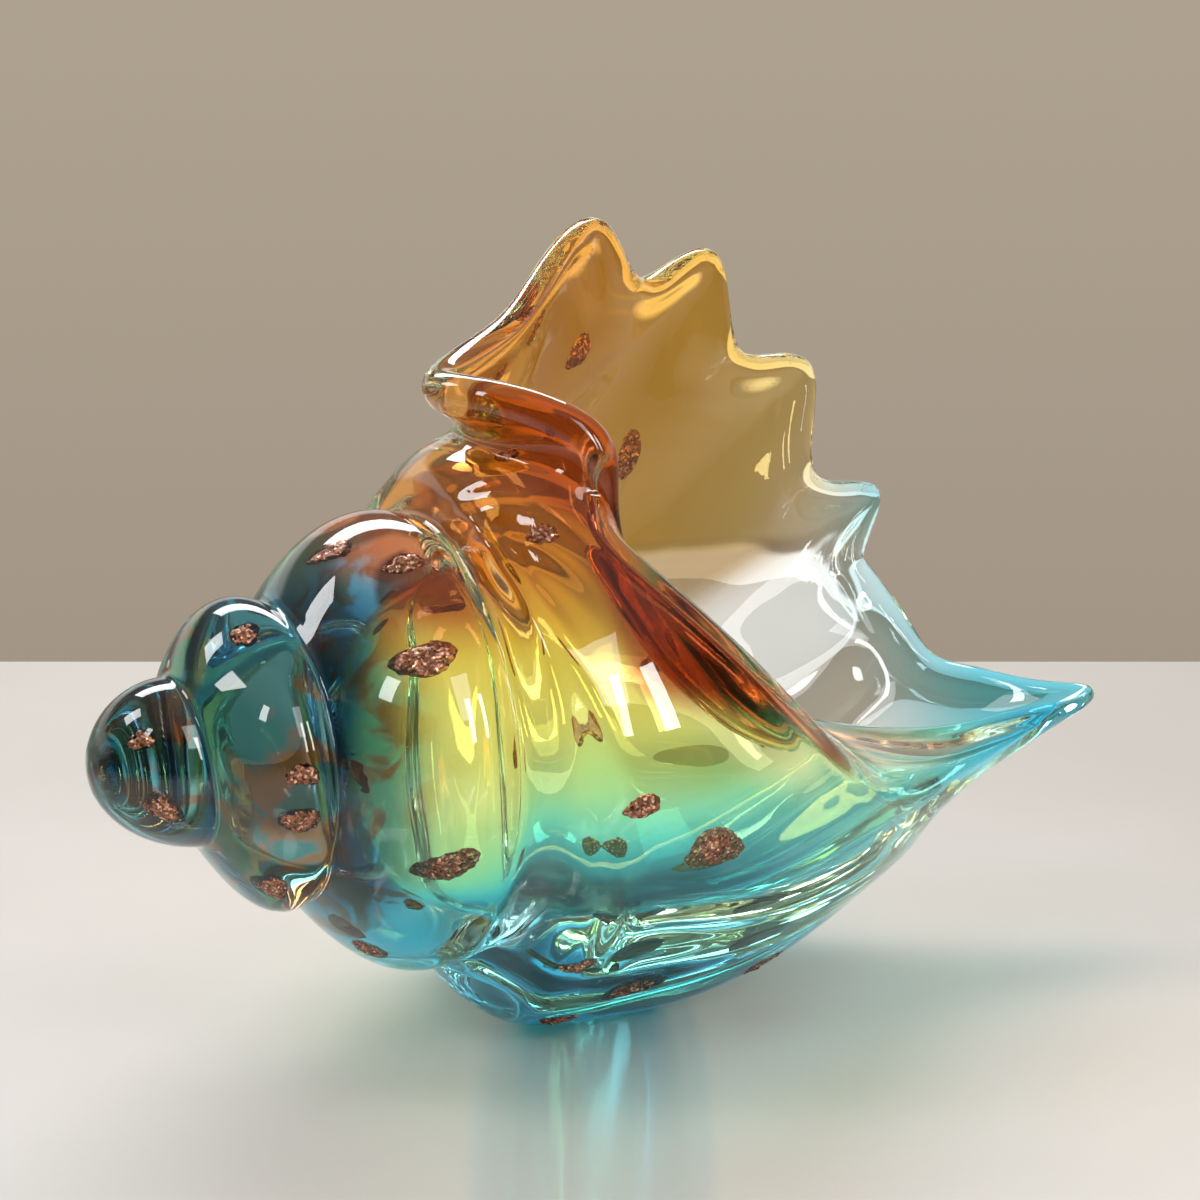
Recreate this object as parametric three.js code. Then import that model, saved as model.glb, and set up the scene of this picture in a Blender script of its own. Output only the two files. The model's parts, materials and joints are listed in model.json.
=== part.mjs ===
// Hand-blown glass conch: a hollow four-lobed body whorl with a knobbed spire, a drawn canal, a flared lip
// with drawn points, and chips of copper aventurine picked up on the hot glass.
// Millimetres, +Z up. The origin is on the ground flat that the shell rests on, and +X points to the canal tip.
// Angles run round the shell's axis: 0 is the front (-Y), 90 the top, 180 the back and 270 the underside.
import * as THREE from 'three';

// Driving size; the shell's form is given in shares of it
const BODY_RADIUS = 60;
const ofRadius = (...shares) => shares.map((share) => share * BODY_RADIUS);

// Spire: distances along the axis and radii of the three necking lines
const [APEX_X] = ofRadius(-1.73);
const NECK_X = ofRadius(-1.42, -1.1, -0.6);
const NECK_RADIUS = ofRadius(0.27, 0.46, 0.7);
const NECK_LEAN = [0.12, 0.03, 0];
const KNOB_BULGE = ofRadius(0.12, 0.14);
const AXIS_FALL = 0.035;

// Lobes: four run the whole length, turning slowly round the axis
const LOBES = 4;
const LOBE_DEPTH = 0.16;
const LOBE_ANGLE = 2;
const LOBE_TURN = 9;
const CREASE_SOFTNESS = 0.2;

// Body whorl
const [BELLY_X, TAPER_LENGTH] = ofRadius(-0.03, 2.13);
const TAPER_POWER = 1.7;
const SHOULDER_SQUARENESS = 3;
const [FLAT_DEPTH, HOLLOW_REACH] = ofRadius(0.075, 0.37);

// Mouth: the body ends at a slanting line, low at the canal and high at the neck, and a flared collar carries on
const [MOUTH_X, MOUTH_SLANT] = ofRadius(0.36, 0.83);
const COLLAR_TURN = 0.5;
const CANAL_TURN = 0.2;

// Glass thickness
const WALL_BASE = 17;
const WALL_SIDE = 5;
const NECK_WALL = 7;
const LIP_WALL = 3.2;
const RIM_WALL = 6.4;
const FOLD_WALL = 8.5;
const BEAD_START = 0.88;
const HEEL_WALL = 7;
const [HEEL_BOTTOM, HEEL_TOP] = ofRadius(0.7, 1.3);

// Drawn points of the outer lip
const POINT_COUNT = 4;
const FIRST_POINT = 120;
const POINT_SPACING = 20;
const POINT_LENGTH = 18;
const POINT_BLUNTNESS = 1.5;
const FLUTE_DEPTH = 4;

// Rim of the mouth: angle round the axis, then where the rim stands at that angle, in body radii
const RIM = [
  [-90, 2.05, 0, 0.75],
  [-80, 1.97, -0.07, 0.73],
  [-60, 1.62, -0.12, 0.72],
  [-40, 1.25, -0.21, 0.76],
  [-20, 0.86, -0.35, 0.87],
  [0, 0.44, -0.47, 1.02],
  [20, 0.14, -0.54, 1.2],
  [40, -0.04, -0.52, 1.41],
  [55, -0.15, -0.48, 1.64],
  [68, -0.25, -0.47, 1.9],
  [76, -0.38, -0.33, 1.98],
  [84, -0.52, -0.18, 2],
  [91, -0.58, 0, 2.01],
  [99, -0.47, 0.18, 2.07],
  [110, -0.14, 0.4, 2.19],
  [120, 0.26, 0.64, 2.26],
  [140, 0.77, 0.83, 2.12],
  [160, 1.13, 0.83, 1.72],
  [180, 1.35, 0.73, 1.27],
  [195, 1.45, 0.67, 1.12],
  [210, 1.5, 0.57, 0.97],
  [230, 1.6, 0.37, 0.8],
  [250, 1.77, 0.18, 0.77],
  [260, 1.97, 0.08, 0.75],
];

// Sectors of the collar, each a piece of its own: from angle, to angle, facets
const CANAL = { from: -130, to: -50, facets: 16 };
const INNER_LIP = { from: -50, to: 66, facets: 22 };
const NECK_CURL = { from: 66, to: 100, facets: 11 };
const OUTER_LIP = { from: 100, to: 230, facets: 39 };
const SECTORS = [CANAL, INNER_LIP, NECK_CURL, OUTER_LIP];

// Rings along each portion of the shell
const APEX_RINGS = 6;
const WHORL_RINGS = 6;
const BODY_RINGS = 11;
const COLLAR_RINGS = 9;
const BEAD_RINGS = 3;
const HOLLOW_RINGS = 4;

// Fit between neighbouring pieces
const SEAM = 0.3;

// Copper chips: where on the shell (portion and share of the way along it), angle, length, width, turn
const CHIP_THICKNESS = 1.1;
const CHIP_FACETS = 8;
const CHIPS = [
  [0.35, 36, 6, 4, 0],
  [0.5, -16, 8.5, 6, -26],
  [0.5, 170, 7, 4, 10],
  [1.4, -54, 9, 7, 50],
  [1.55, -10, 8.5, 6, 15],
  [1.65, 9, 6.5, 4.5, 0],
  [1.6, 72, 6, 6, -45],
  [1.5, 168, 7, 5, -20],
  [1.55, 204, 8, 5, 25],
  [2.5, 36, 14, 8, 3],
  [2.55, -20, 15, 7.5, 35],
  [2.65, 69, 9, 5, -6],
  [2.35, 86, 11, 6, -35],
  [2.35, -68, 9, 7, 45],
  [2.5, 166, 13, 7, -20],
  [2.45, 206, 12, 6, 30],
  [2.5, 254, 10, 6, 10],
  [3.27, 1, 8.5, 4.5, 24],
  [3.46, -10, 14.5, 9, 23],
  [3.28, -53, 17, 7, 12],
  [3.6, -62, 15, 8, 12],
  [3.15, -64, 9, 4, 20],
  [3.12, -40, 8, 4.5, 25],
  [3.62, 56, 6.5, 5.5, 0],
  [3.35, 174, 15, 8, 20],
  [3.5, 206, 12, 7, -25],
  [3.78, 186, 9, 5, 35],
  [3.36, 236, 15, 7, -10],
  [3.66, 256, 12, 7, 25],
  [4.3, 78, 6, 4.5, -30],
  [4.74, 127, 10, 6, 5],
  [4.6, 149, 13, 6, -45],
  [4.7, 117, 9, 5, 10],
  [4.62, 110, 9, 5, 60],
  [4.3, 186, 13, 6, 15],
  [4.35, 212, 10, 5, -20],
];

// Portions of the skin, in order from the spire to the rim
const [APEX, UPPER_WHORL, SHOULDER_WHORL, BODY, COLLAR, RIM_END] = [0, 1, 2, 3, 4, 5];

const AXIS_HEIGHT = BODY_RADIUS - FLAT_DEPTH;
const THROAT_RADIUS = NECK_RADIUS[2] - NECK_WALL;
const THROAT_SHARE = 0.2;
const { degToRad, lerp, smoothstep } = THREE.MathUtils;

const TEAL = glass(0x2f8fa0);
const AQUA = glass(0x6fd6cf);
const GREEN_GOLD = glass(0xb8c850);
const AMBER = glass(0xc9963c);
const RED_AMBER = glass(0x96431a);
const COPPER = new THREE.MeshStandardMaterial({ color: 0x8a4a2c, roughness: 0.4, metalness: 0.7 });

function glass(color) {
  return new THREE.MeshStandardMaterial({ color, roughness: 0.05, metalness: 0, transparent: true, opacity: 0.5 });
}

// 1 on the crown of a lobe, near 0 in the crease between two lobes
function lobe(x, angle) {
  const turn = degToRad(angle - LOBE_ANGLE + LOBE_TURN * x / BODY_RADIUS);
  const wave = Math.cos(LOBES * turn / 2);
  return Math.sqrt(wave * wave + CREASE_SOFTNESS * CREASE_SOFTNESS);
}

// 1 straight down, 0 from the sides upward
function underside(angle) {
  return Math.max(0, -Math.sin(degToRad(angle)));
}

function axisPoint(x) {
  return new THREE.Vector3(x, 0, AXIS_HEIGHT - AXIS_FALL * x);
}

function aboutAxis(x, angle, radius, lean = 0) {
  const out = new THREE.Vector3(0, -Math.cos(degToRad(angle)), Math.sin(degToRad(angle)));
  out.x = -lean * out.z;
  return axisPoint(x).addScaledVector(out, radius);
}

// Solid knob at the end of the spire, from its pole (0) to the first necking line (1)
function apexPoint(share, angle) {
  const radius = NECK_RADIUS[0] * Math.sqrt(share * (2 - share));
  return aboutAxis(lerp(APEX_X, NECK_X[0], share), angle, radius, NECK_LEAN[0] * share);
}

// Ring of knobs between two necking lines
function whorlPoint(index, share, angle) {
  const x = lerp(NECK_X[index - 1], NECK_X[index], share);
  const swell = Math.sin(Math.PI * share) ** 0.7;
  const crown = lerp(NECK_RADIUS[index - 1], NECK_RADIUS[index], share) + KNOB_BULGE[index - 1] * swell;
  const radius = crown * (1 - LOBE_DEPTH * swell * (1 - lobe(x, angle)));
  return aboutAxis(x, angle, radius, lerp(NECK_LEAN[index - 1], NECK_LEAN[index], share));
}

function bodyRadius(x) {
  const neck = NECK_RADIUS[2];
  const rise = (BELLY_X - x) / (BELLY_X - NECK_X[2]);
  const fall = (x - BELLY_X) / TAPER_LENGTH;
  return x < BELLY_X
    ? neck + (BODY_RADIUS - neck) * Math.max(0, 1 - rise ** SHOULDER_SQUARENESS) ** (1 / SHOULDER_SQUARENESS)
    : BODY_RADIUS * (1 - fall * fall) ** TAPER_POWER;
}

// Body whorl, from the last necking line (0) to the slanting line where the mouth opens (1)
function bodyPoint(share, angle) {
  const mouth = MOUTH_X - MOUTH_SLANT * Math.sin(degToRad(angle));
  const x = lerp(NECK_X[2], mouth, share);
  const swell = smoothstep(share, 0, 0.3) * (1 - 0.6 * share);
  const radius = bodyRadius(x) * (1 - LOBE_DEPTH * swell * (1 - lobe(x, angle)));
  return aboutAxis(x, angle, radius);
}

// 1 at the tip of a drawn point, 0 in the hollows beside it
function drawnPoint(angle) {
  const step = (angle - FIRST_POINT) / POINT_SPACING;
  const inRow = step > -0.5 && step < POINT_COUNT - 0.5;
  return inRow ? 1 - Math.abs(Math.sin(Math.PI * step)) ** POINT_BLUNTNESS : 0;
}

// Closed smooth curve through the rim's stations
function rimStation(angle) {
  const count = RIM.length;
  const turned = angle < RIM[0][0] ? angle + 360 : angle;
  const after = RIM.findIndex((station) => station[0] > turned);
  const index = (after === -1 ? count : after) - 1;
  const span = (index + 1 < count ? RIM[index + 1][0] : RIM[0][0] + 360) - RIM[index][0];
  const near = [-1, 0, 1, 2].map((step) => RIM[(index + step + count) % count]);
  const points = near.map(([, ...shares]) => new THREE.Vector3(...ofRadius(...shares)));
  const curve = new THREE.CatmullRomCurve3(points, false, 'catmullrom', 0.5);
  return curve.getPoint((1 + (turned - RIM[index][0]) / span) / 3);
}

// Collar, from the body (0) to the rim (1): it leaves along the body's own surface and turns to the rim
function collarPoint(share, angle) {
  const foot = bodyPoint(1, angle);
  const leave = foot.clone().sub(bodyPoint(0.96, angle)).normalize();
  const rim = rimStation(angle);
  const turnShare = lerp(COLLAR_TURN, CANAL_TURN, underside(angle) ** 2);
  const turn = foot.clone().addScaledVector(leave, turnShare * foot.distanceTo(rim));
  const onward = rim.clone().sub(turn).normalize();
  const round = rimStation(angle + 1).sub(rimStation(angle - 1));
  const aside = onward.clone().cross(round).normalize();
  rim.addScaledVector(onward, POINT_LENGTH * drawnPoint(angle));
  rim.addScaledVector(aside, FLUTE_DEPTH * drawnPoint(angle));
  return new THREE.QuadraticBezierCurve3(foot, turn, rim).getPoint(share);
}

// The whole outer skin as blown: the whole part of a station names the portion, the rest is the share along it
function blownSkin(station, angle) {
  const portion = Math.min(COLLAR, Math.floor(station));
  const share = station - portion;
  if (portion === APEX) {
    return apexPoint(share, angle);
  }
  if (portion < BODY) {
    return whorlPoint(portion, share, angle);
  }
  return portion === BODY ? bodyPoint(share, angle) : collarPoint(share, angle);
}

// Outer skin once its underside is ground flat
function skin(station, angle) {
  const point = blownSkin(station, angle);
  point.z = Math.max(0, point.z);
  return point;
}

// Unit directions on the skin: along it toward the rim, square across that, square on from its ring, and out of it
function directions(station, angle, face = skin) {
  const portion = Math.min(COLLAR, Math.floor(station));
  const low = Math.max(portion, station - 0.01);
  const high = Math.min(portion + 0.9999, station + 0.01);
  const along = face(high, angle).sub(face(low, angle)).normalize();
  const round = face(station, angle + 0.5).sub(face(station, angle - 0.5)).normalize();
  const out = along.clone().cross(round).normalize();
  const across = out.clone().cross(along);
  const onward = round.clone().cross(out);
  return { along, across, onward, out };
}

function wallAt(station, angle) {
  const bodyWall = lerp(WALL_SIDE, WALL_BASE, underside(angle) ** 4);
  const heel = heelAt(station, angle);
  if (station <= COLLAR) {
    return bodyWall + heel;
  }
  const share = station - COLLAR;
  const fold = smoothstep(angle, -50, -10) * (1 - smoothstep(angle, 98, 112));
  const spout = 1 - smoothstep(Math.abs(angle + 90), 5, 30);
  const bead = (RIM_WALL - LIP_WALL) * (1 - spout) * smoothstep(share, BEAD_START, 1);
  const rolled = (FOLD_WALL - RIM_WALL) * fold * share ** 4;
  return lerp(bodyWall, LIP_WALL, smoothstep(share, 0, 0.6)) + bead + rolled + heel;
}

// Extra glass low in the outer lip and in the wall just below it, where it sagged while it was hot
function heelAt(station, angle) {
  const inLip = smoothstep(angle, 120, 160) * (1 - smoothstep(angle, 205, 230));
  const { z } = blownSkin(station, angle);
  const sag = 1 - smoothstep(z, HEEL_BOTTOM, HEEL_TOP);
  return HEEL_WALL * sag * inLip * smoothstep(station, BODY + 0.3, COLLAR);
}

function innerWall(station, angle) {
  const { out } = directions(station, angle, blownSkin);
  return blownSkin(station, angle).addScaledVector(out, -wallAt(station, angle));
}

// Inner face of the wall; at its start it runs into the throat, where the hollow enters the shoulder whorl
function lining(station, angle) {
  const share = station - BODY;
  if (share >= THROAT_SHARE) {
    return innerWall(station, angle);
  }
  const throat = aboutAxis(NECK_X[2], angle, THROAT_RADIUS);
  return throat.lerp(innerWall(BODY + THROAT_SHARE, angle), share / THROAT_SHARE);
}

// End of the hollow inside the shoulder whorl, from the throat (0) to its pole (1)
function hollowEnd(share, angle) {
  const turn = share * Math.PI / 2;
  return aboutAxis(NECK_X[2] - HOLLOW_REACH * Math.sin(turn), angle, THROAT_RADIUS * Math.cos(turn));
}

function evenSteps(count) {
  return Array.from({ length: count + 1 }, (_, i) => i / count);
}

// Shares that crowd toward both necking lines, where the glass turns most
function crowdedSteps(count) {
  return evenSteps(count).map((share) => (1 - Math.cos(Math.PI * share)) / 2);
}

function facetAngles(sector) {
  return evenSteps(sector.facets).map((share) => lerp(sector.from, sector.to, share));
}

const ALL_ANGLES = SECTORS.flatMap((sector) => facetAngles(sector).slice(0, -1));
const BODY_SHARES = evenSteps(BODY_RINGS).map((share) => share ** 1.2);
const COLLAR_SHARES = evenSteps(COLLAR_RINGS).map((share) => 1 - (1 - share) ** 1.7);
const STATIONS = [
  ...crowdedSteps(APEX_RINGS).slice(1, -1).map((share) => APEX + share),
  ...crowdedSteps(WHORL_RINGS).slice(0, -1).map((share) => UPPER_WHORL + share),
  ...crowdedSteps(WHORL_RINGS).slice(0, -1).map((share) => SHOULDER_WHORL + share),
  ...BODY_SHARES.slice(0, -1).map((share) => BODY + share),
  ...COLLAR_SHARES.map((share) => COLLAR + share),
];

// Collects triangles; corners run counter-clockwise as seen from outside
class Faces {
  constructor() {
    this.positions = [];
  }

  add(...corners) {
    for (let i = 1; i + 1 < corners.length; i += 1) {
      for (const corner of [corners[0], corners[i], corners[i + 1]]) {
        this.positions.push(corner.x, corner.y, corner.z);
      }
    }
  }

  mesh(name, material) {
    const geometry = new THREE.BufferGeometry();
    geometry.setAttribute('position', new THREE.Float32BufferAttribute(this.positions, 3));
    geometry.computeVertexNormals();
    const mesh = new THREE.Mesh(geometry, material);
    mesh.name = name;
    return mesh;
  }
}

// Closed solid from one pole, through rings of equal count, to another pole
function ringSolid(name, material, startPole, rings, endPole) {
  const faces = new Faces();
  const count = rings[0].length;
  const last = rings.length - 1;
  for (let i = 0; i < count; i += 1) {
    const next = (i + 1) % count;
    faces.add(startPole, rings[0][i], rings[0][next]);
    faces.add(endPole, rings[last][next], rings[last][i]);
    for (let j = 0; j < last; j += 1) {
      faces.add(rings[j][i], rings[j + 1][i], rings[j + 1][next], rings[j][next]);
    }
  }
  return faces.mesh(name, material);
}

// Closed solid through rings of equal count, the last of which runs on into the first
function tubeSolid(name, material, rings) {
  const faces = new Faces();
  const count = rings[0].length;
  for (let i = 0; i < count; i += 1) {
    const next = (i + 1) % count;
    rings.forEach((here, j) => {
      const there = rings[(j + 1) % rings.length];
      faces.add(here[i], there[i], there[next], here[next]);
    });
  }
  return faces.mesh(name, material);
}

function ring(station, face = skin, shift = 0) {
  return ALL_ANGLES.map((angle) => face(station, angle).addScaledVector(directions(station, angle).onward, shift));
}

// Ring on a necking line, drawn back from it by half a seam
function neckRing(index, side, radius = NECK_RADIUS[index]) {
  const x = NECK_X[index] + side * SEAM / 2;
  return ALL_ANGLES.map((angle) => aboutAxis(x, angle, radius, NECK_LEAN[index]));
}

function neckCentre(index, side) {
  return axisPoint(NECK_X[index] + side * SEAM / 2);
}

function makeSpireTip() {
  const rings = crowdedSteps(APEX_RINGS).slice(1, -1).map((share) => ring(APEX + share));
  rings.push(neckRing(0, -1));
  return ringSolid('spire_tip', TEAL, axisPoint(APEX_X), rings, neckCentre(0, -1));
}

function whorlRings(portion) {
  const rings = crowdedSteps(WHORL_RINGS).slice(1, -1).map((share) => ring(portion + share));
  return [neckRing(portion - 1, 1), ...rings, neckRing(portion, -1)];
}

function makeUpperWhorl() {
  return ringSolid('upper_whorl', TEAL, neckCentre(0, 1), whorlRings(UPPER_WHORL), neckCentre(1, -1));
}

function makeShoulderWhorl() {
  const inside = evenSteps(HOLLOW_RINGS).slice(1, -1).map((share) => (
    ALL_ANGLES.map((angle) => hollowEnd(share, angle))));
  const rings = [...whorlRings(SHOULDER_WHORL), neckRing(2, -1, THROAT_RADIUS), ...inside];
  return ringSolid('shoulder_whorl', TEAL, neckCentre(1, 1), rings, hollowEnd(1, 0));
}

// Open at both ends: the throat joins the hollow of the shoulder whorl and the mouth opens to the collar
function makeBodyWhorl() {
  const shares = BODY_SHARES.slice(1, -1);
  const outside = [neckRing(2, 1), ...shares.map((share) => ring(BODY + share)), ring(COLLAR, skin, -SEAM / 2)];
  const inside = [neckRing(2, 1, THROAT_RADIUS), ...shares.map((share) => ring(BODY + share, lining)),
    ring(COLLAR, lining, -SEAM / 2)];
  return tubeSolid('body_whorl', GREEN_GOLD, [...outside, ...inside.reverse()]);
}

// Wall of the collar at one angle: outer face, rounded edge and inner face, drawn back from its neighbours
function collarSection(angle, sideShift) {
  const outer = [];
  const inner = [];
  for (const share of COLLAR_SHARES) {
    const station = COLLAR + share;
    const { across, onward } = directions(station, angle);
    const shift = across.multiplyScalar(sideShift).addScaledVector(onward, share === 0 ? SEAM / 2 : 0);
    outer.push(skin(station, angle).add(shift));
    inner.push(lining(station, angle).add(shift));
  }
  const middle = outer.at(-1).clone().lerp(inner.at(-1), 0.5);
  const half = outer.at(-1).clone().sub(middle);
  const onward = directions(RIM_END, angle).onward.multiplyScalar(half.length());
  const bead = evenSteps(BEAD_RINGS + 1).slice(1, -1).map((share) => middle.clone()
    .addScaledVector(half, Math.cos(Math.PI * share))
    .addScaledVector(onward, Math.sin(Math.PI * share)));
  return { outer, bead, inner };
}

function capSection(faces, { outer, bead, inner }, isEnd) {
  const put = (first, ...rest) => faces.add(first, ...(isEnd ? rest.reverse() : rest));
  for (let j = 0; j < COLLAR_RINGS; j += 1) {
    put(outer[j], inner[j], inner[j + 1], outer[j + 1]);
  }
  put(outer.at(-1), inner.at(-1), ...[...bead].reverse());
}

// Sector of the collar, closed at both ends
function makeCollar(name, material, sector) {
  const faces = new Faces();
  const angles = facetAngles(sector);
  const last = angles.length - 1;
  const drawBack = (i) => (i === 0 ? SEAM / 2 : i === last ? -SEAM / 2 : 0);
  const sections = angles.map((angle, i) => collarSection(angle, drawBack(i)));
  const loops = sections.map(({ outer, bead, inner }) => [...outer, ...bead, ...[...inner].reverse()]);
  const count = loops[0].length;
  for (let i = 0; i < last; i += 1) {
    for (let j = 0; j + 1 < count; j += 1) {
      faces.add(loops[i][j], loops[i][j + 1], loops[i + 1][j + 1], loops[i + 1][j]);
    }
    faces.add(loops[i][0], loops[i + 1][0], loops[i + 1].at(-1), loops[i].at(-1));
  }
  capSection(faces, sections[0], false);
  capSection(faces, sections[last], true);
  return faces.mesh(name, material);
}

// Point on the facets themselves, so that a chip lies on the glass as it is faceted
function facetPoint(station, angle) {
  const turned = ALL_ANGLES[0] + THREE.MathUtils.euclideanModulo(angle - ALL_ANGLES[0], 360);
  const row = STATIONS.findLastIndex((value) => value <= station);
  const column = ALL_ANGLES.findLastIndex((value) => value <= turned);
  const nextAngle = column + 1 < ALL_ANGLES.length ? ALL_ANGLES[column + 1] : ALL_ANGLES[0] + 360;
  const along = (station - STATIONS[row]) / (STATIONS[row + 1] - STATIONS[row]);
  const round = (turned - ALL_ANGLES[column]) / (nextAngle - ALL_ANGLES[column]);
  const near = skin(STATIONS[row], ALL_ANGLES[column]);
  const far = skin(STATIONS[row + 1], nextAngle);
  const between = along >= round
    ? skin(STATIONS[row + 1], ALL_ANGLES[column])
    : skin(STATIONS[row], nextAngle);
  return new THREE.Vector3()
    .addScaledVector(near, 1 - Math.max(along, round))
    .addScaledVector(between, Math.abs(along - round))
    .addScaledVector(far, Math.min(along, round));
}

// Leaf-shaped chip lying on the skin
function makeChip([station, angle, length, width, turn], index) {
  const alongScale = skin(station + 0.005, angle).distanceTo(skin(station - 0.005, angle)) / 0.01;
  const roundScale = skin(station, angle + 0.5).distanceTo(skin(station, angle - 0.5));
  const place = (size, corner, lift) => {
    const theta = 2 * Math.PI * corner / CHIP_FACETS;
    const ragged = 1 + 0.12 * Math.sin(3 * theta + index) + 0.07 * Math.sin(5 * theta + 2 * index);
    const leaf = new THREE.Vector2(Math.cos(theta) * length / 2, -Math.sin(theta) * width / 2);
    leaf.multiplyScalar(size * ragged).rotateAround(new THREE.Vector2(), degToRad(turn));
    const at = [station + leaf.x / alongScale, angle + leaf.y / roundScale];
    return facetPoint(...at).addScaledVector(directions(...at).out, SEAM + lift);
  };
  const chipRing = (size, lift) => Array.from({ length: CHIP_FACETS }, (_, corner) => place(size, corner, lift));
  const under = [chipRing(0.5, 0), chipRing(0.9, 0)];
  const over = [chipRing(1, CHIP_THICKNESS / 2), chipRing(0.6, CHIP_THICKNESS)];
  const name = `copper_chip_${String(index + 1).padStart(2, '0')}`;
  return ringSolid(name, COPPER, place(0, 0, 0), [...under, ...over], place(0, 0, CHIP_THICKNESS * 1.1));
}

const shell = new THREE.Group();
shell.name = 'glass_conch';
shell.add(
  makeSpireTip(),
  makeUpperWhorl(),
  makeShoulderWhorl(),
  makeBodyWhorl(),
  makeCollar('siphonal_canal', AQUA, CANAL),
  makeCollar('inner_lip', RED_AMBER, INNER_LIP),
  makeCollar('neck_curl', AMBER, NECK_CURL),
  makeCollar('outer_lip', AMBER, OUTER_LIP),
  ...CHIPS.map(makeChip),
);

export default shell;
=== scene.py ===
"""Looks of the glass conch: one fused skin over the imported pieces, copper chips sunk in it, a pale table."""
import json
import math

import bmesh
import bpy
from mathutils import Euler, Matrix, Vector, noise
from mathutils.bvhtree import BVHTree
from mathutils.kdtree import KDTree

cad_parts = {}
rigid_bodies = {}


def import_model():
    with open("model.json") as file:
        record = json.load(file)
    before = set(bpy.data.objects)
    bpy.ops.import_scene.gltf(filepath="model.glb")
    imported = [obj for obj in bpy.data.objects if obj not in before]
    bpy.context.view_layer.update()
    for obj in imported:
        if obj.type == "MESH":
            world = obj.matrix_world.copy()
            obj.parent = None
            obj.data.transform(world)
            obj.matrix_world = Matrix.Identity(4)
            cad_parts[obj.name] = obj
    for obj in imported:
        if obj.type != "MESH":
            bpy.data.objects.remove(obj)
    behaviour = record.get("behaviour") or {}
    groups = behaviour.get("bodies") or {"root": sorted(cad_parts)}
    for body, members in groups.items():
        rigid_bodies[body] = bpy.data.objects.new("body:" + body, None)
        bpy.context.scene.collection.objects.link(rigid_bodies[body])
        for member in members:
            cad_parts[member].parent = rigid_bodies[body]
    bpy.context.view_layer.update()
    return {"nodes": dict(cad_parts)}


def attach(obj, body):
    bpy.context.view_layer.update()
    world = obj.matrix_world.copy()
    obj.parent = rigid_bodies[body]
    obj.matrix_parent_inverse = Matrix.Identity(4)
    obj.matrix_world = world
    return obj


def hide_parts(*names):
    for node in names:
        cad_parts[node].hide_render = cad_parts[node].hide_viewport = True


# Camera, as the photograph was taken
AZIMUTH = -28
ELEVATION = 13
LENS = 90
SENSOR = 36
CLIP_START = 0.01
DISTANCE = 0.607
TARGET = Vector((0.0097, 0.0147, 0.0759))

# Glass skin
GLASS_NODES = (
    "spire_tip", "upper_whorl", "shoulder_whorl", "body_whorl",
    "siphonal_canal", "inner_lip", "neck_curl", "outer_lip",
)
SEAM = 0.0006
SAME_POINT = 1e-6
POLE_EDGES = 20
OPPOSED = -0.8
SMOOTHING = 2
GLASS_ROUGHNESS = 0.01
GLASS_IOR = 1.5
HALF_WALL = 0.5
SHADOW_SHARE = 0.72

# Colour that light takes on in one wall of glass, linear: the body from its base, the lip from the neck,
# the lip's foot from the canal and the spire from its tip
BODY_TINTS = (
    (0, (0.001, 0.035, 0.09)),
    (0.14, (0.004, 0.12, 0.25)),
    (0.22, (0.03, 0.4, 0.64)),
    (0.29, (0.18, 0.78, 0.92)),
    (0.38, (0.52, 0.94, 0.68)),
    (0.49, (0.94, 0.98, 0.49)),
    (0.62, (1, 0.96, 0.41)),
    (0.72, (0.98, 0.77, 0.21)),
    (0.82, (0.8, 0.42, 0.09)),
    (1, (0.6, 0.29, 0.065)),
)
LIP_TINTS = (
    (0, (0.5, 0.13, 0.02)),
    (0.12, (0.72, 0.26, 0.04)),
    (0.3, (0.92, 0.46, 0.07)),
    (0.5, (0.95, 0.6, 0.13)),
    (0.66, (0.97, 0.76, 0.3)),
    (0.78, (0.98, 0.96, 0.82)),
    (0.88, (0.82, 0.97, 0.97)),
    (1, (0.42, 0.87, 0.95)),
)
# The lip's foot: the clear white is painted light for a bright patch that comes from refraction, and the brown
# above it is painted shade at that patch's edge
LIP_FOOT_PAINTED_LIGHT_TINTS = (
    (0, (0.93, 0.98, 0.97)),
    (0.4, (1, 0.99, 0.95)),
    (0.8, (0.52, 0.38, 0.22)),
)
SPIRE_TINTS = (
    (0, (0.012, 0.15, 0.27)),
    (0.3, (0.008, 0.1, 0.18)),
    (0.42, (0.002, 0.03, 0.065)),
    (0.78, (0.004, 0.05, 0.1)),
    (1, (0.03, 0.3, 0.45)),
)
FOLD_TINT = (0.52, 0.16, 0.055)
CANAL_TINT = (0.2, 0.78, 0.96)
FRIT_TINT = (0.05, 0.022, 0.012)

# Where each ramp of tints starts and ends, in metres, and how its lines lean
BODY_HEIGHTS = (0, 0.12)
BODY_DROOP = -1.4
BODY_LEAN = 0.22
BODY_FRONT = -0.055
LIP_RUNS = (-0.06, 0.12)
LIP_LEAN = -0.5
LIP_MIDDLE = 0.076
PAINTED_FOOT_RISES = (0.027, 0.044)
PAINTED_FOOT_LEAN = -0.52
SPIRE_RUNS = (-0.104, -0.054)

# Where each part of the shell begins and is fully reached, in metres, and how its edge leans
MOUTH_LEAN = 0.93
MOUTH_MIDDLE = 0.055
COLLAR_FADE = (0.022, 0.045)
LIP_BACK_FADE = (-0.005, 0.02)
PAINTED_FOOT_FADE = (0.0785, 0.074)
SPIRE_FADE = (-0.045, -0.06)
SHOULDER_FADE = (-0.032, -0.04)
SHOULDER_TOP_FADE = (0.079, 0.088)
CANAL_FADE = (0.075, 0.105)
FOLD_LEAN = 0.32
FOLD_FRONT_FADE = (-0.004, -0.022)
FOLD_END_FADE = (0.095, 0.068)
BAND_FADE = (0.066, 0.073)
BAND_START_FADE = (-0.021, -0.0165)
FLAP_FADE = (0.062, 0.068)
FLAP_START_FADE = (0.02, 0.028)

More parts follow.
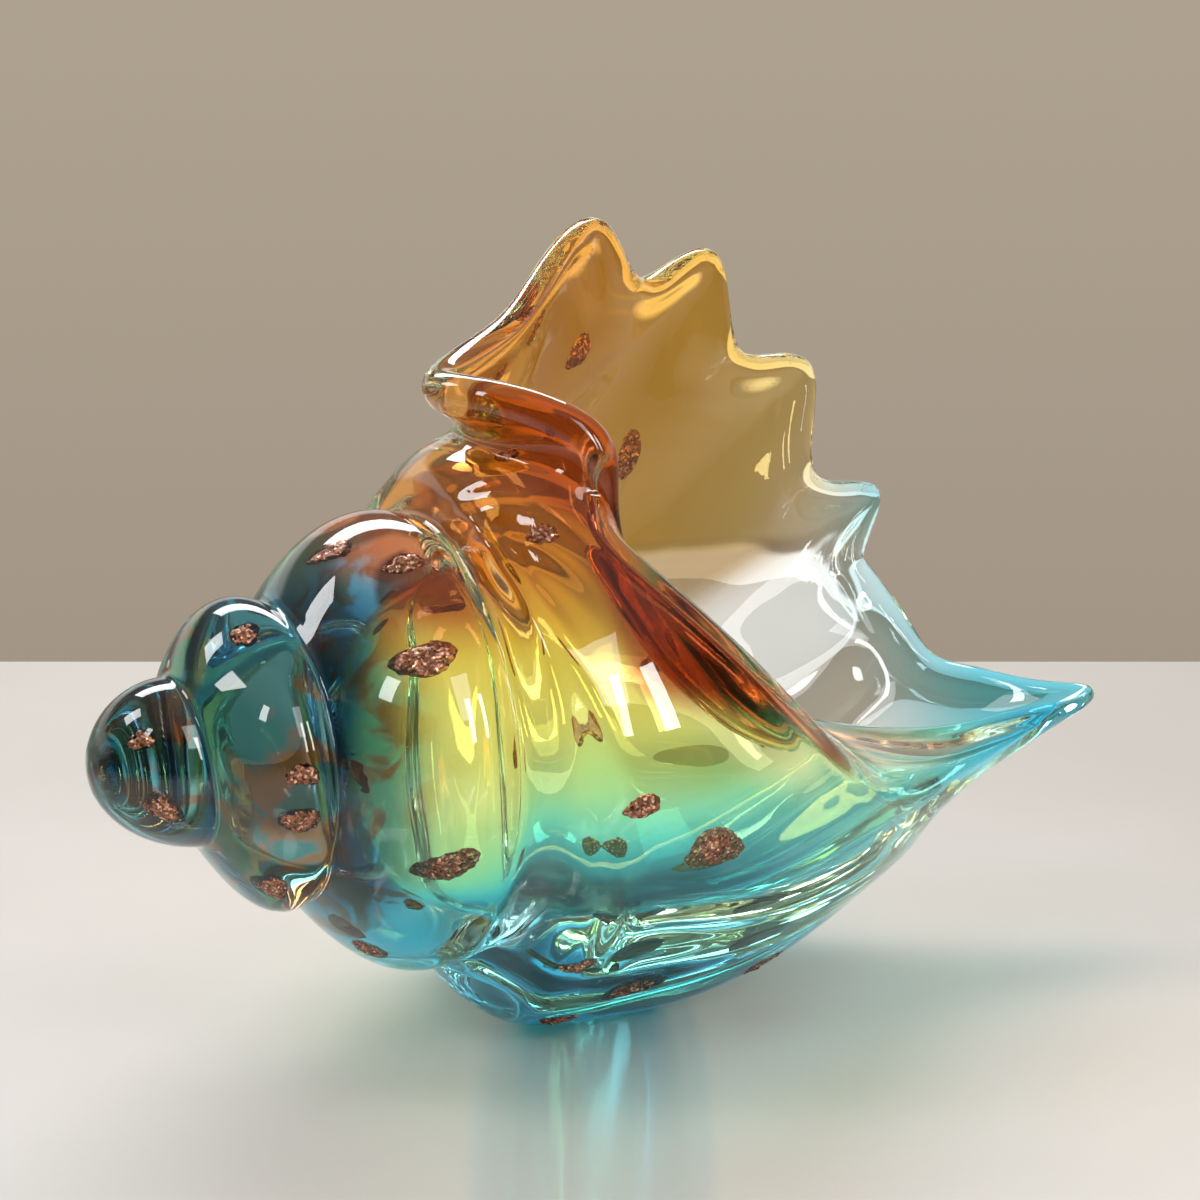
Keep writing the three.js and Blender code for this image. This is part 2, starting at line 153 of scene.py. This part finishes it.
# Brown streaks in the spire
STREAK_SCALE = 70
STREAK_DETAIL = 3
STREAK_WANDER = 1.2
STREAK_FADE = (0.5, 0.62)

# Copper chips
CHIP_DEPTH = 0.0016
CHIP_SMOOTHING = 2
CHIP_GRAIN = 0.0005
CHIP_GRAIN_SIZE = 0.0009
CHIP_ROUGHNESS = 0.32
FLAKE_SCALE = 2200
FLAKE_TINTS = (
    (0, (0.09, 0.03, 0.015)),
    (0.55, (0.22, 0.08, 0.04)),
    (0.85, (0.45, 0.19, 0.1)),
    (1, (0.9, 0.55, 0.36)),
)
FLAKE_METAL_FADE = (0.3, 0.9)
FLAKE_BUMP = 0.6
FLAKE_HEIGHT = 0.0003

# Tooling ridges on the neck, arched one above the other below the curl
RIDGE_MIDDLE = Vector((-0.0255, -0.02, 0.109))
RIDGE_ALONG = Vector((0.72, -0.69, 0))
RIDGE_OUT = Vector((-0.5, -0.55, 0.67))
RIDGE_SPACING = 0.0056
RIDGE_HEIGHT = 0.00022
RIDGE_ARCH = 23
RIDGE_REACH = 0.016
RIDGE_DROP = 0.004
RIDGE_BAND = 0.009

# Pinches at the lip's points: tip and foot of each as x and z, height, half width and the lip's nearest y
PINCHES = (
    (Vector((0.017, 0.147)), Vector((0.021, 0.129))),
    (Vector((0.0525, 0.138)), Vector((0.0485, 0.114))),
    (Vector((0.0755, 0.113)), Vector((0.067, 0.091))),
    (Vector((0.089, 0.084)), Vector((0.0785, 0.071))),
)
PINCH_HEIGHT = 0.0012
PINCH_WIDTH = 0.003
PINCH_NEAREST = 0.02

# Table of polished pale stone
TABLE_WIDTH = 1.1
TABLE_DEPTH = 1.2
TABLE_FAR = 0.27
TABLE_THICKNESS = 0.02
TABLE_BEVEL = 0.003
TABLE_BEVEL_SEGMENTS = 3
STONE_TINTS = (
    (0.35, (0.76, 0.755, 0.745)),
    (0.65, (0.81, 0.805, 0.8)),
)
STONE_CLOUDS = 9
STONE_DETAIL = 6
STONE_ROUGHNESS = 0.04
STONE_IOR = 1.9

# Room behind the shell, from below the table to the ceiling: place from straight down to up, and colour
FLOOR_COLOUR = (1.1, 1.07, 1.02)
FLOORWARD_COLOUR = (0.36, 0.3, 0.235)
WALL_COLOUR = (0.42, 0.355, 0.275)
BRIGHT_COLOUR = (1.15, 1.13, 1.1)
SHADE_COLOUR = (0.26, 0.24, 0.22)
CEILING_COLOUR = (0.42, 0.4, 0.38)
ROOM_BANDS = (
    (0.366, FLOOR_COLOUR),
    (0.376, FLOORWARD_COLOUR),
    (0.48, WALL_COLOUR),
    (0.515, WALL_COLOUR),
    (0.56, BRIGHT_COLOUR),
    (0.64, BRIGHT_COLOUR),
    (0.67, SHADE_COLOUR),
    (0.72, SHADE_COLOUR),
    (0.8, CEILING_COLOUR),
)
DARK_COLOUR = (0.07, 0.06, 0.05)
BEHIND_FADE = (-0.35, 0.2)
OVERHEAD_FADE = (0.6, 0.9)

# Lamps: azimuth, elevation, distance, width, height and watts
LAMPS = {
    "key": (165, 45, 1, 0.9, 0.28, 8.4),
    "skylight": (-116, 46, 0.9, 0.2, 0.26, 1.9),
    "front_window": (-2, 44, 0.9, 0.22, 0.5, 1.7),
    "window_a": (1, 28, 0.86, 0.07, 0.45, 1.6),
    "window_b": (19.5, 28, 0.9, 0.07, 0.45, 1.7),
    "side_window": (-68, 40, 0.9, 0.1, 0.28, 1.2),
}

# Light that may pass through many walls of glass
LIGHT_BOUNCES = 28


def clear_scene():
    for thing in list(bpy.data.objects):
        bpy.data.objects.remove(thing)


def new_material(name):
    material = bpy.data.materials.new(name)
    material.use_nodes = True
    return material, material.node_tree, material.node_tree.nodes["Principled BSDF"]


def add_node(tree, kind, **settings):
    node = tree.nodes.new(kind)
    for key, value in settings.items():
        setattr(node, key, value)
    return node


def calc(tree, operation, *values):
    """A math node; each value is a number or another node's output."""
    node = add_node(tree, "ShaderNodeMath", operation=operation)
    for socket, value in zip(node.inputs, values):
        if isinstance(value, (int, float)):
            socket.default_value = value
        else:
            tree.links.new(value, socket)
    return node.outputs[0]


def both(tree, first, second):
    """Where two fades, from 0 to 1, hold together."""
    return calc(tree, "MULTIPLY", first, second)


def lean(tree, value, other, share, zero=0):
    """The value plus a share of how far the other one lies above zero."""
    above = calc(tree, "SUBTRACT", other, zero)
    return calc(tree, "ADD", value, calc(tree, "MULTIPLY", above, share))


def step(tree, value, low, high):
    """Smooth rise from 0 at low to 1 at high, or fall if low is above high."""
    node = add_node(tree, "ShaderNodeMapRange", interpolation_type="SMOOTHSTEP")
    tree.links.new(value, node.inputs["Value"])
    node.inputs["From Min"].default_value = min(low, high)
    node.inputs["From Max"].default_value = max(low, high)
    node.inputs["To Min"].default_value = 0 if low < high else 1
    node.inputs["To Max"].default_value = 1 if low < high else 0
    return node.outputs[0]


def step_linear(tree, value, low, high):
    """Straight rise from 0 at low to 1 at high."""
    node = add_node(tree, "ShaderNodeMapRange")
    tree.links.new(value, node.inputs["Value"])
    node.inputs["From Min"].default_value = low
    node.inputs["From Max"].default_value = high
    return node.outputs[0]


def ramp(tree, value, stops):
    """Colour ramp over 0 to 1; each stop is a place and a linear colour."""
    node = add_node(tree, "ShaderNodeValToRGB")
    elements = node.color_ramp.elements
    while len(elements) > 1:
        elements.remove(elements[-1])
    elements[0].position = stops[0][0]
    elements[0].color = (*stops[0][1], 1)
    for place, colour in stops[1:]:
        element = elements.new(place)
        element.color = (*colour, 1)
    tree.links.new(value, node.inputs["Fac"])
    return node.outputs["Color"]


def mix_colour(tree, kind, factor, first, second):
    node = add_node(tree, "ShaderNodeMix", data_type="RGBA", blend_type=kind)
    for name, value in (("Factor_Float", factor), ("A_Color", first), ("B_Color", second)):
        socket = next(s for s in node.inputs if s.identifier == name)
        if isinstance(value, (int, float)):
            socket.default_value = value
        elif isinstance(value, tuple):
            socket.default_value = (*value, 1)
        else:
            tree.links.new(value, socket)
    return next(s for s in node.outputs if s.identifier == "Result_Color")


def axes(tree, space):
    """The x, y and z of each point of a surface, or of each direction of the world."""
    coordinates = add_node(tree, "ShaderNodeTexCoord")
    split = add_node(tree, "ShaderNodeSeparateXYZ")
    tree.links.new(coordinates.outputs[space], split.inputs[0])
    return split.outputs


def clouds(tree, scale, detail, wander=0):
    """Soft noise over the surface, around one half."""
    coordinates = add_node(tree, "ShaderNodeTexCoord")
    node = add_node(tree, "ShaderNodeTexNoise")
    node.inputs["Scale"].default_value = scale
    node.inputs["Detail"].default_value = detail
    node.inputs["Distortion"].default_value = wander
    tree.links.new(coordinates.outputs["Object"], node.inputs["Vector"])
    return node.outputs["Fac"]


def body_colour(tree, x, y, z):
    """Aqua from the base upward, then green, yellow and amber."""
    right = calc(tree, "MAXIMUM", x, 0)
    height = lean(tree, z, calc(tree, "MULTIPLY", right, right), BODY_DROOP)
    height = lean(tree, height, y, BODY_LEAN, BODY_FRONT)
    return ramp(tree, step_linear(tree, height, *BODY_HEIGHTS), BODY_TINTS)


def lip_colour(tree, x, z):
    """Amber at the neck to white and pale aqua at the canal; the thick foot has tints of its own, which are
    painted light: clear white for a bright refracted patch, and brown above it as painted shade.
    """
    run = lean(tree, x, z, LIP_LEAN, LIP_MIDDLE)
    lip = ramp(tree, step_linear(tree, run, *LIP_RUNS), LIP_TINTS)
    rise = lean(tree, z, x, PAINTED_FOOT_LEAN)
    # The foot's tints are painted light and shade: white for a bright refracted patch, brown at its edge
    foot = ramp(tree, step_linear(tree, rise, *PAINTED_FOOT_RISES), LIP_FOOT_PAINTED_LIGHT_TINTS)
    return mix_colour(tree, "MIX", step(tree, z, *PAINTED_FOOT_FADE), lip, foot)


def spire_colour(tree, x):
    """Dark teal, with brown powdered glass running through it."""
    teal = ramp(tree, step_linear(tree, x, *SPIRE_RUNS), SPIRE_TINTS)
    streaks = step(tree, clouds(tree, STREAK_SCALE, STREAK_DETAIL, STREAK_WANDER), *STREAK_FADE)
    return mix_colour(tree, "MIX", streaks, teal, FRIT_TINT)


def fold_mask(tree, x, y, z, beyond_mouth):
    """Where the near edge of the mouth is folded: a band below the curl, and the flap up to the canal."""
    above = lean(tree, z, x, FOLD_LEAN)
    band = both(tree, step(tree, above, *BAND_FADE), step(tree, x, *BAND_START_FADE))
    flap = both(tree, step(tree, above, *FLAP_FADE), step(tree, beyond_mouth, *FLAP_START_FADE))
    on_front = both(tree, calc(tree, "MAXIMUM", band, flap), step(tree, y, *FOLD_FRONT_FADE))
    return both(tree, on_front, step(tree, x, *FOLD_END_FADE))


def glass_colour(tree):
    """The tints of all parts of the shell, laid over each other."""
    x, y, z = axes(tree, "Object")
    beyond_mouth = lean(tree, x, z, MOUTH_LEAN, MOUTH_MIDDLE)
    on_lip = both(tree, step(tree, beyond_mouth, *COLLAR_FADE), step(tree, y, *LIP_BACK_FADE))
    shoulder_top = both(tree, step(tree, x, *SHOULDER_FADE), step(tree, z, *SHOULDER_TOP_FADE))
    tint = mix_colour(tree, "MIX", on_lip, body_colour(tree, x, y, z), lip_colour(tree, x, z))
    tint = mix_colour(tree, "MIX", shoulder_top, tint, FOLD_TINT)
    tint = mix_colour(tree, "MIX", step(tree, x, *SPIRE_FADE), tint, spire_colour(tree, x))
    tint = mix_colour(tree, "MIX", step(tree, x, *CANAL_FADE), tint, CANAL_TINT)
    return mix_colour(tree, "MIX", fold_mask(tree, x, y, z, beyond_mouth), tint, FOLD_TINT)


def glass_material():
    """Clear coloured glass whose shadow is coloured light."""
    material, tree, shader = new_material("blown_glass")
    colour = glass_colour(tree)
    tree.links.new(colour, shader.inputs["Base Color"])
    shader.inputs["Roughness"].default_value = GLASS_ROUGHNESS
    shader.inputs["IOR"].default_value = GLASS_IOR
    shader.inputs["Transmission Weight"].default_value = 1
    clear = add_node(tree, "ShaderNodeBsdfTransparent")
    half_wall = add_node(tree, "ShaderNodeGamma")
    half_wall.inputs["Gamma"].default_value = HALF_WALL
    tree.links.new(colour, half_wall.inputs["Color"])
    shade = mix_colour(tree, "MULTIPLY", 1, half_wall.outputs[0], (SHADOW_SHARE,) * 3)
    tree.links.new(shade, clear.inputs["Color"])
    path = add_node(tree, "ShaderNodeLightPath")
    mix = add_node(tree, "ShaderNodeMixShader")
    tree.links.new(path.outputs["Is Shadow Ray"], mix.inputs["Fac"])
    tree.links.new(shader.outputs[0], mix.inputs[1])
    tree.links.new(clear.outputs[0], mix.inputs[2])
    tree.links.new(mix.outputs[0], tree.nodes["Material Output"].inputs["Surface"])
    return material


def copper_material():
    """Copper aventurine: brown glass full of bright flakes."""
    material, tree, shader = new_material("copper_aventurine")
    coordinates = add_node(tree, "ShaderNodeTexCoord")
    cells = add_node(tree, "ShaderNodeTexVoronoi", feature="F1")
    cells.inputs["Scale"].default_value = FLAKE_SCALE
    tree.links.new(coordinates.outputs["Object"], cells.inputs["Vector"])
    flake = add_node(tree, "ShaderNodeSeparateColor")
    tree.links.new(cells.outputs["Color"], flake.inputs[0])
    tree.links.new(ramp(tree, flake.outputs["Red"], FLAKE_TINTS), shader.inputs["Base Color"])
    tree.links.new(step(tree, flake.outputs["Green"], *FLAKE_METAL_FADE), shader.inputs["Metallic"])
    shader.inputs["Roughness"].default_value = CHIP_ROUGHNESS
    bump = add_node(tree, "ShaderNodeBump")
    bump.inputs["Strength"].default_value = FLAKE_BUMP
    bump.inputs["Distance"].default_value = FLAKE_HEIGHT
    tree.links.new(flake.outputs["Blue"], bump.inputs["Height"])
    tree.links.new(bump.outputs[0], shader.inputs["Normal"])
    return material


def stone_material():
    """Polished pale stone, faintly clouded."""
    material, tree, shader = new_material("pale_stone")
    tint = ramp(tree, clouds(tree, STONE_CLOUDS, STONE_DETAIL), STONE_TINTS)
    tree.links.new(tint, shader.inputs["Base Color"])
    shader.inputs["Roughness"].default_value = STONE_ROUGHNESS
    shader.inputs["IOR"].default_value = STONE_IOR
    return material


def surface_tree(node):
    corners = [vert.co for vert in node.data.vertices]
    return BVHTree.FromPolygons(corners, [polygon.vertices for polygon in node.data.polygons])


def faces_across(face, tree):
    """Whether a face lies in a seam: the other piece's surface is just across it, turned the other way."""
    normal = tree.find_nearest(face.calc_center_median(), SEAM)[1]
    if normal is None or normal.dot(face.normal) > OPPOSED:
        return False
    return all(tree.find_nearest(vert.co, SEAM)[0] is not None for vert in face.verts)


def open_piece(node, others):
    """The piece's mesh without the faces that lie in its seams."""
    mesh = bmesh.new()
    mesh.from_mesh(node.data)
    inside = [face for face in mesh.faces if any(faces_across(face, tree) for tree in others)]
    bmesh.ops.delete(mesh, geom=inside, context="FACES")
    bmesh.ops.remove_doubles(mesh, verts=mesh.verts, dist=SAME_POINT)
    return mesh


def snap_border(mesh, points):
    """Moves the open border onto the nearest border points of earlier pieces; returns all points so far."""
    before = KDTree(len(points))
    for index, point in enumerate(points):
        before.insert(point, index)
    before.balance()
    border = [vert for vert in mesh.verts if vert.is_boundary]
    for vert in border:
        near = before.find_range(vert.co, SEAM)
        if near:
            vert.co = min(near, key=lambda found: found[2])[0]
    return points + [vert.co.copy() for vert in border]


def weld_nodes(nodes):
    """One mesh from pieces that meet at narrow seams: the faces inside the seams go and the borders close."""
    trees = [surface_tree(node) for node in nodes]
    welded = bmesh.new()
    points = []
    for node, own_tree in zip(nodes, trees):
        piece = open_piece(node, [tree for tree in trees if tree is not own_tree])
        points = snap_border(piece, points)
        data = bpy.data.meshes.new(node.name + "_open")
        piece.to_mesh(data)
        piece.free()
        welded.from_mesh(data)
        bpy.data.meshes.remove(data)
    bmesh.ops.remove_doubles(welded, verts=welded.verts, dist=SAME_POINT)
    return welded


def join_quads(mesh):
    """Undoes the cut of each quad: crossing an edge, the cut passes to the far end of that edge."""
    fans = {face for vert in mesh.verts if len(vert.link_edges) > POLE_EDGES for face in vert.link_faces}
    first = min(mesh.faces, key=lambda face: abs(face.calc_center_median().x))
    cut = {first: max(first.edges, key=lambda edge: edge.calc_length())}
    waiting = [first]
    while waiting:
        face = waiting.pop()
        for edge in face.edges:
            for other in edge.link_faces:
                if other in cut or other in fans:
                    continue
                if edge == cut[face]:
                    cut[other] = edge
                else:
                    shared = next(vert for vert in edge.verts if vert not in cut[face].verts)
                    cut[other] = next(e for e in other.edges if e != edge and shared in e.verts)
                waiting.append(other)
    cuts = {edge for edge in cut.values() if all(cut.get(face) == edge for face in edge.link_faces)}
    bmesh.ops.dissolve_edges(mesh, edges=list(cuts), use_verts=False)


def add_mesh(name, mesh, material):
    data = bpy.data.meshes.new(name)
    mesh.to_mesh(data)
    mesh.free()
    data.materials.append(material)
    for polygon in data.polygons:
        polygon.use_smooth = True
    piece = bpy.data.objects.new(name, data)
    bpy.context.scene.collection.objects.link(piece)
    return piece


def subdivided(cage, levels):
    """The cage's smooth surface as a mesh to work on; the cage itself goes."""
    smooth = cage.modifiers.new("smooth", "SUBSURF")
    smooth.levels = levels
    mesh = bmesh.new()
    mesh.from_mesh(cage.evaluated_get(bpy.context.evaluated_depsgraph_get()).to_mesh())
    bpy.data.objects.remove(cage)
    return mesh


def ridge_lift(point, normal):
    """How far the tooling ridges lift the skin at a point."""
    offset = point - RIDGE_MIDDLE
    along = offset.dot(RIDGE_ALONG)
    below = offset.z + RIDGE_ARCH * along * along
    facing = max(0, normal.dot(RIDGE_OUT))
    reach = math.exp(-(along / RIDGE_REACH) ** 4 - ((below + RIDGE_DROP) / RIDGE_BAND) ** 4)
    return RIDGE_HEIGHT * facing * reach * math.sin(2 * math.pi * below / RIDGE_SPACING)


def pinch_lift(point, normal):
    """How far the pinched points lift the near face of the outer lip at a point."""
    if point.y < PINCH_NEAREST or normal.y > 0:
        return 0
    lift = 0
    for tip, foot in PINCHES:
        run = foot - tip
        offset = Vector((point.x, point.z)) - tip
        share = offset.dot(run) / run.length_squared
        aside = (offset - run * share).length
        fade = max(0, 1 - (2 * share - 1) ** 2)
        lift += PINCH_HEIGHT * fade * math.exp(-(aside / PINCH_WIDTH) ** 2)
    return lift


def make_glass(nodes, material):
    mesh = weld_nodes([nodes[name] for name in GLASS_NODES])
    join_quads(mesh)
    skin = subdivided(add_mesh("glass_cage", mesh, material), SMOOTHING)
    for vert in skin.verts:
        vert.co += vert.normal * (ridge_lift(vert.co, vert.normal) + pinch_lift(vert.co, vert.normal))
    glass = add_mesh("fused_glass", skin, material)
    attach(glass, "root")
    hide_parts(*GLASS_NODES)


def into_glass(mesh):
    """The direction in which a chip sinks: against the outward normal of its biggest face."""
    centre = sum((vert.co for vert in mesh.verts), Vector()) / len(mesh.verts)
    biggest = max(mesh.faces, key=lambda face: face.calc_area())
    outward = (biggest.calc_center_median() - centre).dot(biggest.normal) >= 0
    return -biggest.normal if outward else biggest.normal.copy()


def make_chip(name, node, material):
    """The chip as it lies in the glass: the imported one, rounded, roughened and sunk below the skin."""
    mesh = bmesh.new()
    mesh.from_mesh(node.data)
    bmesh.ops.remove_doubles(mesh, verts=mesh.verts, dist=SAME_POINT)
    mesh.normal_update()
    sink = into_glass(mesh) * CHIP_DEPTH
    for vert in mesh.verts:
        vert.co += sink
    chip_mesh = subdivided(add_mesh(name + "_cage", mesh, material), CHIP_SMOOTHING)
    for vert in chip_mesh.verts:
        vert.co += vert.normal * CHIP_GRAIN * noise.noise(vert.co / CHIP_GRAIN_SIZE)
    chip = add_mesh(name + "_sunk", chip_mesh, material)
    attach(chip, "root")
    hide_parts(name)


def make_table():
    mesh = bmesh.new()
    bmesh.ops.create_cube(mesh, size=1)
    for vert in mesh.verts:
        vert.co.x *= TABLE_WIDTH
        vert.co.y = vert.co.y * TABLE_DEPTH + TABLE_FAR - TABLE_DEPTH / 2
        vert.co.z = (vert.co.z - 0.5) * TABLE_THICKNESS
    edges = mesh.edges[:]
    bmesh.ops.bevel(mesh, geom=edges, offset=TABLE_BEVEL, segments=TABLE_BEVEL_SEGMENTS, affect="EDGES")
    table = add_mesh("table", mesh, stone_material())
    table.rotation_euler = Euler((0, 0, math.radians(AZIMUTH)))


def direction(azimuth, elevation):
    a = math.radians(azimuth)
    e = math.radians(elevation)
    return Vector((math.sin(a) * math.cos(e), -math.cos(a) * math.cos(e), math.sin(e)))


def aim(thing, place):
    thing.location = place
    thing.rotation_euler = (TARGET - place).to_track_quat("-Z", "Y").to_euler()


def make_camera():
    camera = bpy.data.objects.new("camera", bpy.data.cameras.new("camera"))
    camera.data.lens = LENS
    camera.data.sensor_width = SENSOR
    camera.data.clip_start = CLIP_START
    bpy.context.scene.collection.objects.link(camera)
    aim(camera, TARGET + direction(AZIMUTH, ELEVATION) * DISTANCE)
    bpy.context.scene.camera = camera


def make_lamp(name, azimuth, elevation, distance, width, height, power):
    lamp = bpy.data.objects.new(name, bpy.data.lights.new(name, "AREA"))
    lamp.data.shape = "RECTANGLE"
    lamp.data.size = width
    lamp.data.size_y = height
    lamp.data.energy = power
    bpy.context.scene.collection.objects.link(lamp)
    aim(lamp, TARGET + direction(azimuth, elevation) * distance)


def make_world():
    """Warm grey wall behind the shell, a dim room on the camera's side."""
    world = bpy.data.worlds.new("room")
    world.use_nodes = True
    bpy.context.scene.world = world
    tree = world.node_tree
    x, y, z = axes(tree, "Generated")
    wall = direction(AZIMUTH + 180, 0)
    toward_wall = calc(tree, "ADD", calc(tree, "MULTIPLY", x, wall.x), calc(tree, "MULTIPLY", y, wall.y))
    bands = ramp(tree, step_linear(tree, z, -1, 1), ROOM_BANDS)
    lit = calc(tree, "MAXIMUM", step(tree, toward_wall, *BEHIND_FADE), step(tree, z, *OVERHEAD_FADE))
    tint = mix_colour(tree, "MIX", lit, DARK_COLOUR, bands)
    tree.links.new(tint, tree.nodes["Background"].inputs["Color"])


clear_scene()
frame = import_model()
glass_look = glass_material()
copper_look = copper_material()
make_glass(frame["nodes"], glass_look)
for node_name, cad_node in frame["nodes"].items():
    if node_name not in GLASS_NODES:
        make_chip(node_name, cad_node, copper_look)
make_table()
make_camera()
for lamp_name, lamp_settings in LAMPS.items():
    make_lamp(lamp_name, *lamp_settings)
make_world()
bpy.context.scene.view_settings.view_transform = "Standard"
for kind in ("max", "transmission", "glossy", "transparent_max"):
    setattr(bpy.context.scene.cycles, kind + "_bounces", LIGHT_BOUNCES)
